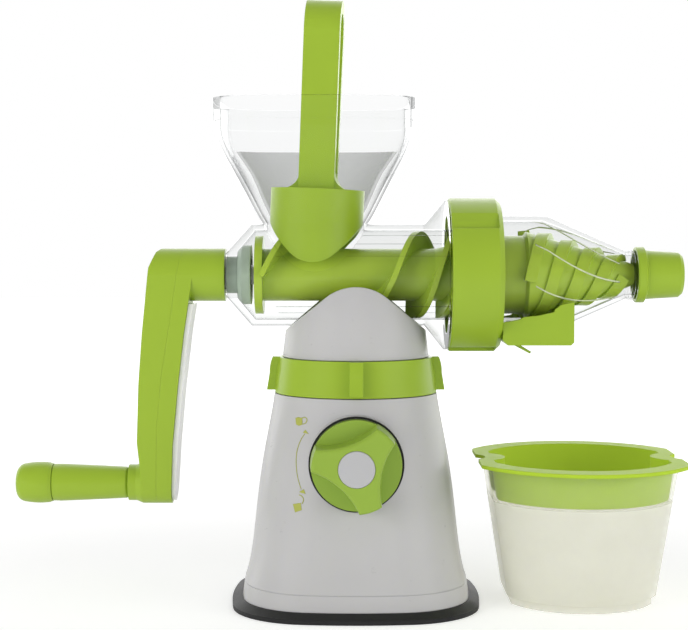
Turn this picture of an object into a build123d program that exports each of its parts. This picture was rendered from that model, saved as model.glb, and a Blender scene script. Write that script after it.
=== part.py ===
from build123d import *
from math import cos, pi, radians, sin, sqrt
import os

# Hand cranked wheatgrass juicer on a suction base, with its juice cup. Millimetres, +Z up,
# +X towards the outlet, -Y towards the operator. The origin is the middle of the footprint.

os.makedirs("parts", exist_ok=True)

# ---- driving dimensions ----

# Axes that the moving pieces turn on
barrel_z = 166.0
grip_z = 59.4
knob_z = 75.5
hopper_x = -20.5
cup_x = 114.0

# Suction pad
pad_half = 63.0
pad_seat_half = 58.6
pad_edge = 2.2
pad_thickness = 4.6
pad_boss_radius = 12.0
pad_boss_top = 17.0

# Base: ring, shell and its deck
ring_top = 12.6
ring_foot_half = 57.6
ring_top_half = 56.5
ring_floor = 3.0
ring_wall = 2.8
shell_wall = 2.5
deck_top = 106.0
deck_thickness = 3.0
neck_radius = 31.7
neck_wall = 2.5
neck_height = 12.0
screw_offset = 36.8
screw_boss_radius = 4.6
screw_boss_top = 34.0
screw_head_radius = 3.6
screw_head_height = 2.0
screw_radius = 1.7
screw_top = 26.0
screw_slot_length = 4.4
screw_slot_width = 0.9
screw_slot_depth = 1.1

# Knob, its shaft, the cam and the lift rod
knob_seat_y = -48.5
knob_seat_radius = 23.3
knob_hub_radius = 9.0
knob_disc_radius = 22.0
knob_disc_front = -54.6
knob_grip_front = -68.0
knob_tip_radius = 22.4
knob_waist_radius = 12.2
knob_tip_angle = 15.0
knob_first_arm = 168.5
knob_gap = 0.4
knob_arm_sink = 2.6
knob_socket_depth = 11.0
knob_cap_radius = 8.8
knob_cap_depth = 2.3
bearing_length = 26.0
shaft_radius = 5.0
shaft_bore = 5.1
shaft_fit = 0.02
cam_base_radius = 9.0
cam_rise = 4.5
cam_sweep = 74.0
cam_home = 44.0
cam_thickness = 10.0
yoke_clearance = 0.3
rod_radius = 4.0
rod_bore = 4.4
rod_foot = 6.2

# Lock ring between base and head
lock_ring_bottom = 106.4
lock_ring_top = 124.3
lock_ring_bore = 36.5
lock_ring_top_radius = 39.0
lock_ring_bottom_radius = 41.3
lock_lug_width = 6.6

# Head cradle
cradle_seat = 124.6
cradle_radius = 37.3
cradle_shoulder_radius = 35.8
cradle_shoulder = 137.5
cradle_peak = 160.5
cradle_wall = 2.6
spigot_radius = 34.5
spigot_wall = 2.5

# Barrel
barrel_radius = 26.0
barrel_bore = 23.0
barrel_rear = -66.0
barrel_shoulder = -53.0
barrel_end = 59.0
rear_bore = 9.5
flange_radius = 38.2
flange_face = 46.2
collar_radius = 30.0
rib_count = 10
rib_height = 0.3
rib_width = 1.4

# Hopper
throat_outer = 26.8
throat_inner = 24.9
seam_bottom = 168.0
seam_top = 192.1
hopper_wall = 2.2
rim_band_bottom = 242.2
rim_top = 253.2
rim_band_half = 51.3

# Auger
auger_core = 13.3
auger_radius = 22.2
auger_rear = -51.0
auger_socket_depth = 31.0

# Nose
nose_radius = 30.2
nose_bore = 27.5
nose_flange_radius = 34.3
nose_neck_radius = 12.0
nose_spout_radius = 9.4
nose_spout_bore = 7.6
nose_tip = 152.0

# Lock nut
nut_radius = 39.0
nut_rear = 47.2
nut_front = 72.8
nut_bore = 35.0
nut_lip_bore = 31.0
nut_groove_depth = 2.2
nut_groove_span = 15.5
nut_step_angles = [37.5, 157.5, 277.5]
nut_lug_rear = 48.0
nut_lug_thickness = 3.3

# Outlet cap
cap_rear = 142.4
cap_front = 166.0

# Cup and its rim insert
cup_height = 70.5
cup_wall = 1.6

barrel_plane = Plane(origin=(0, 0, barrel_z), x_dir=(1, 0, 0), z_dir=(0, -1, 0))
barrel_axis = Axis((0, 0, barrel_z), (1, 0, 0))
grip_plane = Plane(origin=(0, 0, grip_z), x_dir=(1, 0, 0), z_dir=(0, -1, 0))
grip_axis = Axis((0, 0, grip_z), (1, 0, 0))
front_plane = Plane(origin=(0, 0, knob_z), x_dir=(1, 0, 0), z_dir=(0, -1, 0))


def across(x):
    """A plane square to the barrel at x, its local x along +Y and its local y up."""
    return Plane(origin=(x, 0, barrel_z), x_dir=(0, 1, 0), z_dir=(1, 0, 0))


def across_grip(x):
    """A plane square to the axle of the grip at x, its local x along +Y."""
    return Plane(origin=(x, 0, grip_z), x_dir=(0, 1, 0), z_dir=(1, 0, 0))


def soft_square(half, side_radius, corner_radius):
    """A square with bulging sides and round corners, as eight arcs that meet tangent."""
    if side_radius == corner_radius:
        tangent = (half * cos(pi / 8), half * sin(pi / 8))
        corner = half * sqrt(0.5)
    else:
        shift = side_radius - half
        reach = side_radius - corner_radius
        centre = (sqrt(2 * reach**2 - shift**2) - shift) / 2
        scale = side_radius / reach
        tangent = (scale * (centre + shift) - shift, scale * centre)
        corner = centre + corner_radius * sqrt(0.5)
    near, far = tangent[1], tangent[0]
    stops = []
    for quarter in range(4):
        turn = quarter * pi / 2
        for x, y in [(far, -near), (half, 0), (far, near), (corner, corner)]:
            stops.append((x * cos(turn) - y * sin(turn), x * sin(turn) + y * cos(turn)))
    stops.append(stops[0])
    with BuildLine() as outline:
        for start in range(0, 16, 2):
            ThreePointArc(stops[start], stops[start + 1], stops[start + 2])
    make_face(outline.edges())


def seam_line(width, top):
    """The U-shaped seam between barrel and hopper, in the plane of the barrel axis."""
    mid = 15.0
    low = seam_bottom - barrel_z
    ThreePointArc((hopper_x - mid, low + 7.2), (hopper_x, low), (hopper_x + mid, low + 7.2))
    ThreePointArc((hopper_x + mid, low + 7.2), (hopper_x + 21.4, low + 14.6), (hopper_x + width, top))
    ThreePointArc((hopper_x - mid, low + 7.2), (hopper_x - 21.4, low + 14.6), (hopper_x - width, top))


# ---- base ----

# Rubber suction pad: soft square plate with a sleeve for the lift rod
with BuildPart() as suction_pad:
    with BuildSketch(Plane.XY):
        soft_square(pad_half, 210.0, 40.0)
    extrude(amount=pad_edge)
    with BuildSketch(Plane.XY.offset(pad_edge)):
        soft_square(pad_half - 0.4, 209.0, 39.6)
    with BuildSketch(Plane.XY.offset(pad_thickness)):
        soft_square(pad_seat_half, 196.0, 37.0)
    loft(ruled=True)
    with BuildSketch(Plane.XY.offset(pad_thickness)):
        Circle(pad_boss_radius)
    extrude(amount=pad_boss_top - pad_thickness)
    with BuildSketch(Plane.XY.offset(rod_foot - 3.4)):
        Circle(rod_bore)
    extrude(amount=pad_boss_top, mode=Mode.SUBTRACT)
suction_pad.part.label = "suction_pad"

# Base ring: the bottom band with its floor, which clamps the pad
with BuildPart() as base_ring:
    with BuildSketch(Plane.XY.offset(pad_thickness)):
        soft_square(ring_foot_half, 192.0, 37.0)
    with BuildSketch(Plane.XY.offset(ring_top)):
        soft_square(ring_top_half, 190.0, 37.0)
    loft(ruled=True)
    with BuildSketch(Plane.XY.offset(pad_thickness + ring_floor)):
        soft_square(ring_foot_half - 0.4 - ring_wall, 189.2, 34.2)
    with BuildSketch(Plane.XY.offset(ring_top)):
        soft_square(ring_top_half - ring_wall, 187.2, 34.2)
    loft(ruled=True, mode=Mode.SUBTRACT)
    with BuildSketch(Plane.XY.offset(pad_thickness)):
        Circle(pad_boss_radius + 0.4)
        with GridLocations(2 * screw_offset, 2 * screw_offset, 2, 2):
            Circle(screw_radius + 0.2)
    extrude(amount=ring_floor, mode=Mode.SUBTRACT)
    with BuildSketch(Plane.XY.offset(pad_thickness)):
        with GridLocations(2 * screw_offset, 2 * screw_offset, 2, 2):
            Circle(screw_head_radius + 0.3)
    extrude(amount=screw_head_height, mode=Mode.SUBTRACT)
base_ring.part.label = "base_ring"

# Base shell: tall white cone, square with soft corners at the foot and round at the deck
shell_sections = [
    (ring_top, ring_top_half - 0.2, 190.0, 37.0),
    (24.0, 53.6, 150.0, 36.0),
    (40.0, 51.5, 115.0, 37.0),
    (65.0, 48.6, 80.0, 40.0),
    (deck_top, 41.5, 41.5, 41.5),
]
with BuildPart() as base_shell:
    for height, half, side, corner in shell_sections:
        with BuildSketch(Plane.XY.offset(height)):
            soft_square(half, side, corner)
    loft()
    for height, half, side, corner in shell_sections[:-1]:
        with BuildSketch(Plane.XY.offset(height)):
            soft_square(half - shell_wall, side - shell_wall, corner - shell_wall)
    with BuildSketch(Plane.XY.offset(deck_top - deck_thickness)):
        soft_square(39.4, 39.4, 39.4)
    loft(mode=Mode.SUBTRACT)
    # neck that centres the head
    with BuildSketch(Plane.XY.offset(deck_top)):
        Circle(neck_radius)
        Circle(neck_radius - neck_wall, mode=Mode.SUBTRACT)
    extrude(amount=neck_height)
    # screw bosses, grown into the corners of the wall
    with BuildSketch(Plane.XY.offset(ring_top + 0.4)):
        with GridLocations(2 * screw_offset, 2 * screw_offset, 2, 2):
            Circle(screw_boss_radius)
    extrude(amount=screw_boss_top - ring_top)
    with BuildSketch(Plane.XY.offset(ring_top)):
        with GridLocations(2 * screw_offset, 2 * screw_offset, 2, 2):
            Circle(screw_radius + 0.05)
    extrude(amount=screw_top - ring_top + 1.0, mode=Mode.SUBTRACT)
    # round flat seat behind the knob, with the long bearing of its shaft
    with BuildSketch(front_plane.offset(-knob_seat_y)):
        Circle(knob_seat_radius)
    extrude(amount=-6.0)
    with BuildSketch(front_plane.offset(-knob_seat_y)):
        Circle(knob_seat_radius)
    extrude(amount=12.0, mode=Mode.SUBTRACT)
    with BuildSketch(front_plane.offset(-knob_seat_y)):
        Circle(knob_hub_radius)
    extrude(amount=-bearing_length)
    with BuildSketch(front_plane.offset(-knob_seat_y)):
        Circle(shaft_bore)
    extrude(amount=-bearing_length - 4.0, mode=Mode.SUBTRACT)
base_shell.part.label = "base_shell"

# Four screws that hold the base ring up against the shell
with BuildPart() as base_screws:
    with BuildSketch(Plane.XY.offset(pad_thickness)):
        with GridLocations(2 * screw_offset, 2 * screw_offset, 2, 2):
            Circle(screw_head_radius)
    extrude(amount=screw_head_height)
    with BuildSketch(Plane.XY.offset(pad_thickness)):
        with GridLocations(2 * screw_offset, 2 * screw_offset, 2, 2):
            Circle(screw_radius)
    extrude(amount=screw_top - pad_thickness)
    with BuildSketch(Plane.XY.offset(pad_thickness)):
        with GridLocations(2 * screw_offset, 2 * screw_offset, 2, 2):
            Rectangle(screw_slot_length, screw_slot_width)
            Rectangle(screw_slot_width, screw_slot_length)
    extrude(amount=screw_slot_depth, mode=Mode.SUBTRACT)
base_screws.part.label = "base_screws"

# Bracket inside the base that carries the rear end of the knob shaft
bracket_front = 13.0
bracket_thickness = 5.0
bracket_width = 26.0
bracket_foot_depth = 20.0
bracket_foot_height = 3.0
bracket_head = 11.0
gusset_thickness = 3.0
bracket_floor = pad_thickness + ring_floor
with BuildPart() as shaft_bracket:
    with BuildSketch(Plane.XY.offset(bracket_floor)):
        with Locations((0, bracket_front + bracket_foot_depth / 2)):
            Rectangle(bracket_width, bracket_foot_depth)
    extrude(amount=bracket_foot_height)
    with BuildSketch(Plane.XY.offset(bracket_floor)):
        with Locations((0, bracket_front + bracket_thickness / 2)):
            Rectangle(bracket_width, bracket_thickness)
    extrude(amount=knob_z + bracket_head - bracket_floor)
    with BuildSketch(Plane.YZ.offset(-gusset_thickness / 2)):
        Polygon(
            (bracket_front + bracket_thickness, bracket_floor + bracket_foot_height),
            (bracket_front + bracket_foot_depth, bracket_floor + bracket_foot_height),
            (bracket_front + bracket_thickness, knob_z - 6.0),
            align=None,
        )
    extrude(amount=gusset_thickness)
    with BuildSketch(front_plane.offset(-bracket_front)):
        Circle(shaft_bore)
    extrude(amount=-bracket_thickness, mode=Mode.SUBTRACT)
shaft_bracket.part.label = "shaft_bracket"

# Dark ring that seals the gap round the knob
bezel_height = 1.7
with BuildPart() as knob_bezel:
    with BuildSketch(front_plane.offset(-knob_seat_y)):
        Circle(knob_seat_radius - 0.1)
        Circle(knob_disc_radius + 0.35, mode=Mode.SUBTRACT)
    extrude(amount=bezel_height)
knob_bezel.part.label = "knob_bezel"

# ---- knob, shaft, cam and lift rod ----


def pinwheel(tip_radius, waist_radius, half_angle):
    """Three arms with round tips and hollow flanks, as one closed outline."""
    with BuildLine() as outline:
        for arm in range(3):
            middle = radians(knob_first_arm + 120.0 * arm)
            side = radians(half_angle)
            start = middle - side
            end = middle + side
            valley = middle + radians(60.0)
            after = middle + radians(120.0) - side
            ThreePointArc(
                (tip_radius * cos(start), tip_radius * sin(start)),
                (tip_radius * cos(middle), tip_radius * sin(middle)),
                (tip_radius * cos(end), tip_radius * sin(end)),
            )
            ThreePointArc(
                (tip_radius * cos(end), tip_radius * sin(end)),
                (waist_radius * cos(valley), waist_radius * sin(valley)),
                (tip_radius * cos(after), tip_radius * sin(after)),
            )
    make_face(outline.edges())


with BuildPart() as knob:
    with BuildSketch(front_plane.offset(-knob_seat_y + knob_gap)):
        Circle(knob_disc_radius)
    extrude(amount=knob_seat_y - knob_gap - knob_disc_front)
    with BuildSketch(front_plane.offset(-knob_disc_front - knob_arm_sink)):
        pinwheel(knob_tip_radius, knob_waist_radius + 0.6, knob_tip_angle)
    with BuildSketch(front_plane.offset(-knob_grip_front)):
        pinwheel(knob_tip_radius - 0.8, knob_waist_radius - 0.2, knob_tip_angle)
    loft(ruled=True)
    fillet(knob.edges().group_by(Axis.Y)[0], radius=1.6)
    with BuildSketch(front_plane.offset(-knob_grip_front)):
        Circle(knob_cap_radius + 0.1)
    extrude(amount=-knob_cap_depth - 0.1, mode=Mode.SUBTRACT)
    with BuildSketch(front_plane.offset(-knob_seat_y + knob_gap)):
        Circle(shaft_radius + 0.05)
    extrude(amount=knob_socket_depth, mode=Mode.SUBTRACT)
knob.part.label = "knob"

# White disc that covers the screw in the middle of the knob
with BuildPart() as knob_cap:
    with BuildSketch(front_plane.offset(-knob_grip_front - knob_cap_depth)):
        Circle(knob_cap_radius)
    extrude(amount=knob_cap_depth + 0.4)
    fillet(knob_cap.edges().group_by(Axis.Y)[0], radius=0.5)
knob_cap.part.label = "knob_cap"

shaft_front = knob_seat_y - knob_gap - knob_socket_depth + 0.2
shaft_rear = bracket_front + bracket_thickness
with BuildPart() as knob_shaft:
    with BuildSketch(front_plane.offset(-shaft_front)):
        Circle(shaft_radius)
    extrude(amount=shaft_front - shaft_rear)
knob_shaft.part.label = "knob_shaft"

# Cam: its height above the shaft grows evenly with the knob's angle, so the lift is in
# step with the turn. The outline is the envelope of the follower's flat at each angle.
cam_rate = cam_rise / radians(cam_sweep)
cam_low = cam_base_radius
cam_points = []
cam_margin = 14.0
cam_steps = 12
for step in range(cam_steps + 1):
    from_low = -cam_margin + (cam_sweep + 2 * cam_margin) * step / cam_steps
    lean = radians(90.0 - cam_home + from_low)
    height = cam_low + cam_rate * radians(from_low)
    cam_points.append(
        (
            height * cos(lean) - cam_rate * sin(lean),
            height * sin(lean) + cam_rate * cos(lean),
        )
    )
with BuildPart() as lift_cam:
    with BuildSketch(front_plane.offset(cam_thickness / 2)):
        with BuildLine():
            Spline(*cam_points)
            Polyline(cam_points[-1], (0, 0), cam_points[0])
        make_face()
        Circle(7.6)
        Circle(shaft_radius + shaft_fit, mode=Mode.SUBTRACT)
    extrude(amount=-cam_thickness)
lift_cam.part.label = "lift_cam"

# Lift rod: a yoke round the cam, pulled up by the cam, on a round rod to the pad
cam_top = cam_low + cam_rate * radians(cam_home)
yoke_bar_bottom = knob_z + cam_top + yoke_clearance
yoke_half = 19.5
yoke_side = 3.0
yoke_bottom = 56.0
yoke_depth = 11.2
yoke_bar = 4.5
with BuildPart() as lift_rod:
    with BuildSketch(Plane.XZ.offset(-yoke_depth / 2)):
        with BuildLine():
            Polyline(
                (-yoke_half, yoke_bottom),
                (yoke_half, yoke_bottom),
                (yoke_half, yoke_bar_bottom + yoke_bar),
                (-yoke_half, yoke_bar_bottom + yoke_bar),
                close=True,
            )
        make_face()
        with BuildLine():
            Polyline(
                (-yoke_half + yoke_side, yoke_bottom + 4.0),
                (yoke_half - yoke_side, yoke_bottom + 4.0),
                (yoke_half - yoke_side, yoke_bar_bottom),
                (-yoke_half + yoke_side, yoke_bar_bottom),
                close=True,
            )
        make_face(mode=Mode.SUBTRACT)
    extrude(amount=yoke_depth)
    with BuildSketch(Plane.XY.offset(rod_foot)):
        Circle(rod_radius)
    extrude(amount=yoke_bottom + 1.0 - rod_foot)
lift_rod.part.label = "lift_rod"

# Nut and washer plate on the rod, just above the pad's sleeve
washer_seat = 23.0
washer_radius = 10.0
washer_thickness = 1.5
hex_radius = 7.5
hex_height = 6.0
with BuildPart() as rod_nut:
    with BuildSketch(Plane.XY.offset(washer_seat)):
        Circle(washer_radius)
        Circle(rod_radius, mode=Mode.SUBTRACT)
    extrude(amount=washer_thickness)
    with BuildSketch(Plane.XY.offset(washer_seat + washer_thickness)):
        RegularPolygon(hex_radius, 6)
        Circle(rod_radius, mode=Mode.SUBTRACT)
    extrude(amount=hex_height)
rod_nut.part.label = "rod_nut"

# ---- lock ring ----

ring_lug_angles = [0, 90, 180, 270]
ring_key_span = 34.0
ring_key_bottom = 112.6
spigot_lug_bottom = 108.6
key_thickness = 3.0
# reach of a grip lug at its foot, its toe, its brow and its crown
lug_root = 38.0
lug_toe = 45.4
lug_brow = 43.9
lug_crown = 42.4


def sector(inner, outer, middle, span):
    """A ring sector centred on the angle middle, as a sketch face."""
    half_span = radians(span / 2)
    centre = radians(middle)
    with BuildLine() as outline:
        stops = []
        for radius in (inner, outer):
            stops.append(
                [
                    (radius * cos(centre + turn), radius * sin(centre + turn))
                    for turn in (-half_span, 0, half_span)
                ]
            )
        ThreePointArc(*stops[0])
        Line(stops[0][2], stops[1][2])
        ThreePointArc(*reversed(stops[1]))
        Line(stops[1][0], stops[0][0])
    make_face(outline.edges())


with BuildPart() as lock_ring:
    with BuildSketch(Plane.XY.offset(lock_ring_bottom)):
        Circle(lock_ring_bottom_radius)
    with BuildSketch(Plane.XY.offset(lock_ring_top)):
        Circle(lock_ring_top_radius)
    loft()
    with BuildSketch(Plane.XY.offset(lock_ring_bottom)):
        Circle(lock_ring_bore)
    extrude(amount=lock_ring_top - lock_ring_bottom, mode=Mode.SUBTRACT)
    # four grip lugs, deepest at the bottom, rounded at the top
    for angle in ring_lug_angles:
        lug_plane = Plane(
            origin=(0, 0, 0),
            x_dir=(cos(radians(angle)), sin(radians(angle)), 0),
            z_dir=(sin(radians(angle)), -cos(radians(angle)), 0),
        )
        with BuildSketch(lug_plane.offset(-lock_lug_width / 2)):
            with BuildLine():
                Polyline(
                    (lug_crown, lock_ring_top),
                    (lug_root, lock_ring_top),
                    (lug_root, lock_ring_bottom + 1.0),
                    (lug_toe, lock_ring_bottom + 1.0),
                    (lug_brow, lock_ring_top - 8.0),
                )
                ThreePointArc(
                    (lug_brow, lock_ring_top - 8.0),
                    (lug_brow - 0.6, lock_ring_top - 2.6),
                    (lug_crown, lock_ring_top),
                )
            make_face()
        extrude(amount=lock_lug_width)
    # bayonet keys inside, which hold down the head's spigot
    for angle in ring_lug_angles:
        with BuildSketch(Plane.XY.offset(ring_key_bottom)):
            sector(spigot_radius + 0.4, lock_ring_bore + 0.5, angle + 45.0, ring_key_span)
        extrude(amount=key_thickness)
lock_ring.part.label = "lock_ring"

# ---- head: cradle, barrel, hopper ----

wing_half = 37.0
crest_half = 15.4
crest_foot = 154.9
# Cradle: round white cup whose front and rear petals hold the barrel
with BuildPart() as head_cradle:
    with BuildSketch(Plane.XZ):
        with BuildLine():
            Line((0, cradle_seat), (cradle_radius, cradle_seat))
            Line((cradle_radius, cradle_seat), (cradle_shoulder_radius, cradle_shoulder))
            ThreePointArc(
                (cradle_shoulder_radius, cradle_shoulder), (33.8, 149.5), (30.0, cradle_peak + 1.0)
            )
            Line((30.0, cradle_peak + 1.0), (0, cradle_peak + 1.0))
            Line((0, cradle_peak + 1.0), (0, cradle_seat))
        make_face()
    revolve(axis=Axis.Z)
    with BuildSketch(Plane.XZ.offset(-50.0)):
        with BuildLine():
            Polyline(
                (wing_half, cradle_shoulder - 0.7),
                (45.0, cradle_shoulder - 0.7),
                (45.0, 100.0),
                (-45.0, 100.0),
                (-45.0, cradle_shoulder - 0.7),
                (-wing_half, cradle_shoulder - 0.7),
                (-crest_half, crest_foot),
            )
            ThreePointArc((-crest_half, crest_foot), (0, cradle_peak), (crest_half, crest_foot))
            Line((crest_half, crest_foot), (wing_half, cradle_shoulder - 0.7))
        make_face()
    extrude(amount=100.0, mode=Mode.INTERSECT)
    with BuildSketch(across(-60.0)):
        Circle(barrel_radius)
    extrude(amount=120.0, mode=Mode.SUBTRACT)
    # hollow underneath
    with BuildSketch(Plane.XY.offset(cradle_seat)):
        Circle(cradle_radius - cradle_wall)
    with BuildSketch(Plane.XY.offset(136.6)):
        Circle(cradle_shoulder_radius - cradle_wall - 0.2)
    loft(mode=Mode.SUBTRACT)
    # spigot that drops over the base's neck
    with BuildSketch(Plane.XY.offset(deck_top)):
        Circle(spigot_radius)
        Circle(spigot_radius - spigot_wall, mode=Mode.SUBTRACT)
    extrude(amount=cradle_seat - deck_top)
    with BuildSketch(Plane.XY.offset(cradle_seat)):
        Circle(cradle_radius - 0.1)
        Circle(spigot_radius - spigot_wall, mode=Mode.SUBTRACT)
    extrude(amount=1.4)
    for angle in ring_lug_angles:
        with BuildSketch(Plane.XY.offset(spigot_lug_bottom)):
            sector(spigot_radius - 0.5, lock_ring_bore - 0.4, angle + 45.0, ring_key_span)
        extrude(amount=key_thickness)
head_cradle.part.label = "head_cradle"

# Barrel: clear tube with a coned rear end, a front flange and bayonet lugs for the nut
lug_angles = [47.0, 167.0, 287.0]
lug_span = 34.0
lug_radius = 33.5
lug_rear = 52.0
lug_thickness = 3.5
rib_first_angle = 9.0
rib_foot_radius = barrel_bore - 0.1
rib_rear = -40.0
rib_front = 56.0
with BuildPart() as barrel:
    with BuildSketch(barrel_plane):
        Polygon(
            (barrel_rear, rear_bore),
            (barrel_rear, 11.2),
            (barrel_shoulder, barrel_radius),
            (35.0, barrel_radius),
            (44.6, flange_radius),
            (flange_face, flange_radius),
            (flange_face, collar_radius),
            (barrel_end, collar_radius),
            (barrel_end, barrel_bore),
            (-51.2, barrel_bore),
            (-60.0, rear_bore + 3.0),
            (-60.0, rear_bore),
            align=None,
        )
    revolve(axis=barrel_axis)
    # lengthwise ribs that keep the grass from turning with the auger
    for rib in range(rib_count):
        turn = rib_first_angle + 360.0 / rib_count * rib
        foot = (
            rib_foot_radius * cos(radians(turn)),
            rib_foot_radius * sin(radians(turn)),
        )
        with BuildSketch(across(rib_rear)):
            with Locations(Location(foot, turn)):
                Rectangle(2 * rib_height, rib_width)
        extrude(amount=rib_front - rib_rear)
    for angle in lug_angles:
        with BuildSketch(across(lug_rear)):
            sector(collar_radius - 0.5, lug_radius, angle, lug_span)
        extrude(amount=lug_thickness)
    # the feed opening, cut along the seam with the hopper
    with BuildSketch(barrel_plane.offset(-45.0)):
        with BuildLine():
            seam_line(throat_outer, seam_top - barrel_z)
            Polyline(
                (hopper_x - throat_outer, seam_top - barrel_z),
                (hopper_x - throat_outer, 60.0),
                (hopper_x + throat_outer, 60.0),
                (hopper_x + throat_outer, seam_top - barrel_z),
            )
        make_face()
    extrude(amount=90.0, mode=Mode.SUBTRACT)
barrel.part.label = "barrel"

# Hopper: square funnel with soft corners above a round throat
hopper_plane = Plane(origin=(hopper_x, 0, 0))
seam_reach = 40.0
# height, half width, side radius and corner radius of the funnel's outside
funnel_sections = [
    (seam_top, throat_outer, throat_outer, throat_outer),
    (208.0, 35.8, 72.0, 30.0),
    (220.0, 42.6, 125.0, 25.0),
    (230.0, 47.8, 210.0, 22.0),
    (rim_band_bottom, 50.0, 300.0, 20.5),
]
with BuildPart() as hopper:
    for height, half, side, corner in funnel_sections:
        with BuildSketch(hopper_plane.offset(height)):
            soft_square(half, side, corner)
    loft()
    with BuildSketch(hopper_plane.offset(rim_band_bottom)):
        soft_square(rim_band_half, 305.0, 21.5)
    extrude(amount=rim_top - rim_band_bottom)
    with BuildSketch(hopper_plane.offset(seam_bottom - 3.0)):
        Circle(throat_outer)
    extrude(amount=seam_top - seam_bottom + 3.0)
    for height, half, side, corner in funnel_sections:
        wall = throat_outer - throat_inner if height == seam_top else hopper_wall
        with BuildSketch(hopper_plane.offset(height)):
            soft_square(half - wall, side - wall, corner - wall)
    loft(mode=Mode.SUBTRACT)
    with BuildSketch(hopper_plane.offset(rim_band_bottom)):
        soft_square(*[size - hopper_wall for size in funnel_sections[-1][1:]])
    extrude(amount=rim_top - rim_band_bottom, mode=Mode.SUBTRACT)
    with BuildSketch(hopper_plane.offset(seam_bottom - 3.0)):
        Circle(throat_inner)
    extrude(amount=seam_top - seam_bottom + 3.0, mode=Mode.SUBTRACT)
    # everything below the seam belongs to the barrel
    with BuildSketch(barrel_plane.offset(-45.0)):
        with BuildLine():
            seam_line(throat_outer, seam_top - barrel_z)
            Polyline(
                (hopper_x - throat_outer, seam_top - barrel_z),
                (hopper_x - seam_reach, seam_top - barrel_z),
                (hopper_x - seam_reach, -20.0),
                (hopper_x + seam_reach, -20.0),
                (hopper_x + seam_reach, seam_top - barrel_z),
                (hopper_x + throat_outer, seam_top - barrel_z),
            )
        make_face()
    extrude(amount=90.0, mode=Mode.SUBTRACT)
    with BuildSketch(across(hopper_x - seam_reach)):
        Circle(barrel_bore)
    extrude(amount=2 * seam_reach, mode=Mode.SUBTRACT)
hopper.part.label = "hopper"

# Grey lip seal round the shaft at the rear of the barrel
seal_rear = -65.6
seal_step = -59.8
seal_front = -53.2
seal_lip = 5.3
seal_radius = 15.0
seal_cup_radius = 8.6
with BuildPart() as rear_seal:
    with BuildSketch(barrel_plane):
        Polygon(
            (seal_rear, seal_lip),
            (seal_rear, rear_bore - 0.1),
            (seal_step, rear_bore - 0.1),
            (seal_step, seal_radius - 2.8),
            (seal_step + 2.0, seal_radius),
            (seal_front, seal_radius),
            (seal_front, seal_cup_radius),
            (seal_front - 2.8, seal_cup_radius),
            (seal_front - 3.8, seal_lip),
            align=None,
        )
    revolve(axis=barrel_axis)
rear_seal.part.label = "rear_seal"

# Flat ring between barrel and nose
gasket_bore = 24.2
gasket_thickness = 1.5
with BuildPart() as flange_gasket:
    with BuildSketch(across(barrel_end)):
        Circle(collar_radius - 0.4)
        Circle(gasket_bore, mode=Mode.SUBTRACT)
    extrude(amount=gasket_thickness)
flange_gasket.part.label = "flange_gasket"

# ---- nose, screen and chute ----

nose_rear = barrel_end + gasket_thickness
neck_rear = 138.0
spout_rear = 146.2
spout_step = 144.0
swell_x = 94.0
bend_x = 103.5
bend_radius = 27.4
taper_x = 111.7
taper_radius = 23.7
thread_ridges = (138.6, 140.3)
ridge_width = 0.8
window_x = 84.0
window_length = 13.0
window_width = 22.0
nose_inner = [
    (nose_rear, nose_bore),
    (95.0, nose_bore),
    (104.0, 24.2),
    (137.0, 10.4),
    (spout_step, 10.0),
    (spout_step, nose_spout_bore),
    (nose_tip, nose_spout_bore),
]
with BuildPart() as nose_cone:
    with BuildSketch(barrel_plane):
        with BuildLine():
            Polyline(
                (nose_tip, nose_spout_radius),
                (spout_rear, nose_spout_radius),
                (spout_rear, nose_neck_radius),
                (neck_rear, nose_neck_radius),
                (135.5, 13.2),
                (taper_x, taper_radius),
            )
            Spline(
                (taper_x, taper_radius),
                (bend_x, bend_radius),
                (swell_x, nose_radius),
                tangents=[(-1, 0.44), (-1, 0)],
            )
            Polyline(
                (swell_x, nose_radius),
                (nose_rear + 4.0, nose_radius),
                (nose_rear + 4.0, nose_flange_radius),
                (nose_rear, nose_flange_radius),
            )
            Polyline((nose_rear, nose_flange_radius), *nose_inner, (nose_tip, nose_spout_radius))
        make_face()
    revolve(axis=barrel_axis)
    # moulded thread ridges behind the cap
    for ridge in thread_ridges:
        with BuildSketch(across(ridge)):
            Circle(nose_neck_radius + ridge_width)
            Circle(nose_neck_radius - 0.5, mode=Mode.SUBTRACT)
        extrude(amount=ridge_width)
    # window in the underside, where the juice falls
    with BuildSketch(Plane.XY.offset(barrel_z - 40.0)):
        with Locations((window_x, 0)):
            Rectangle(window_length, window_width)
    extrude(amount=20.0, mode=Mode.SUBTRACT)
nose_cone.part.label = "nose_cone"

# Curved perforated plate over the window
screen_bore = nose_bore - 0.7
screen_length = 17.0
screen_span = 64.0
slot_pitch_x = 2.1
slot_pitch_y = 3.2
slot_width = 0.9
slot_length = 2.0
with BuildPart() as juice_screen:
    with BuildSketch(across(window_x - screen_length / 2)):
        sector(screen_bore, nose_bore - 0.05, 270.0, screen_span)
    extrude(amount=screen_length)
    with BuildSketch(Plane.XY.offset(barrel_z - 40.0)):
        with Locations((window_x, 0)):
            with GridLocations(slot_pitch_x, slot_pitch_y, 6, 6):
                Rectangle(slot_width, slot_length)
    extrude(amount=20.0, mode=Mode.SUBTRACT)
juice_screen.part.label = "juice_screen"

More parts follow.
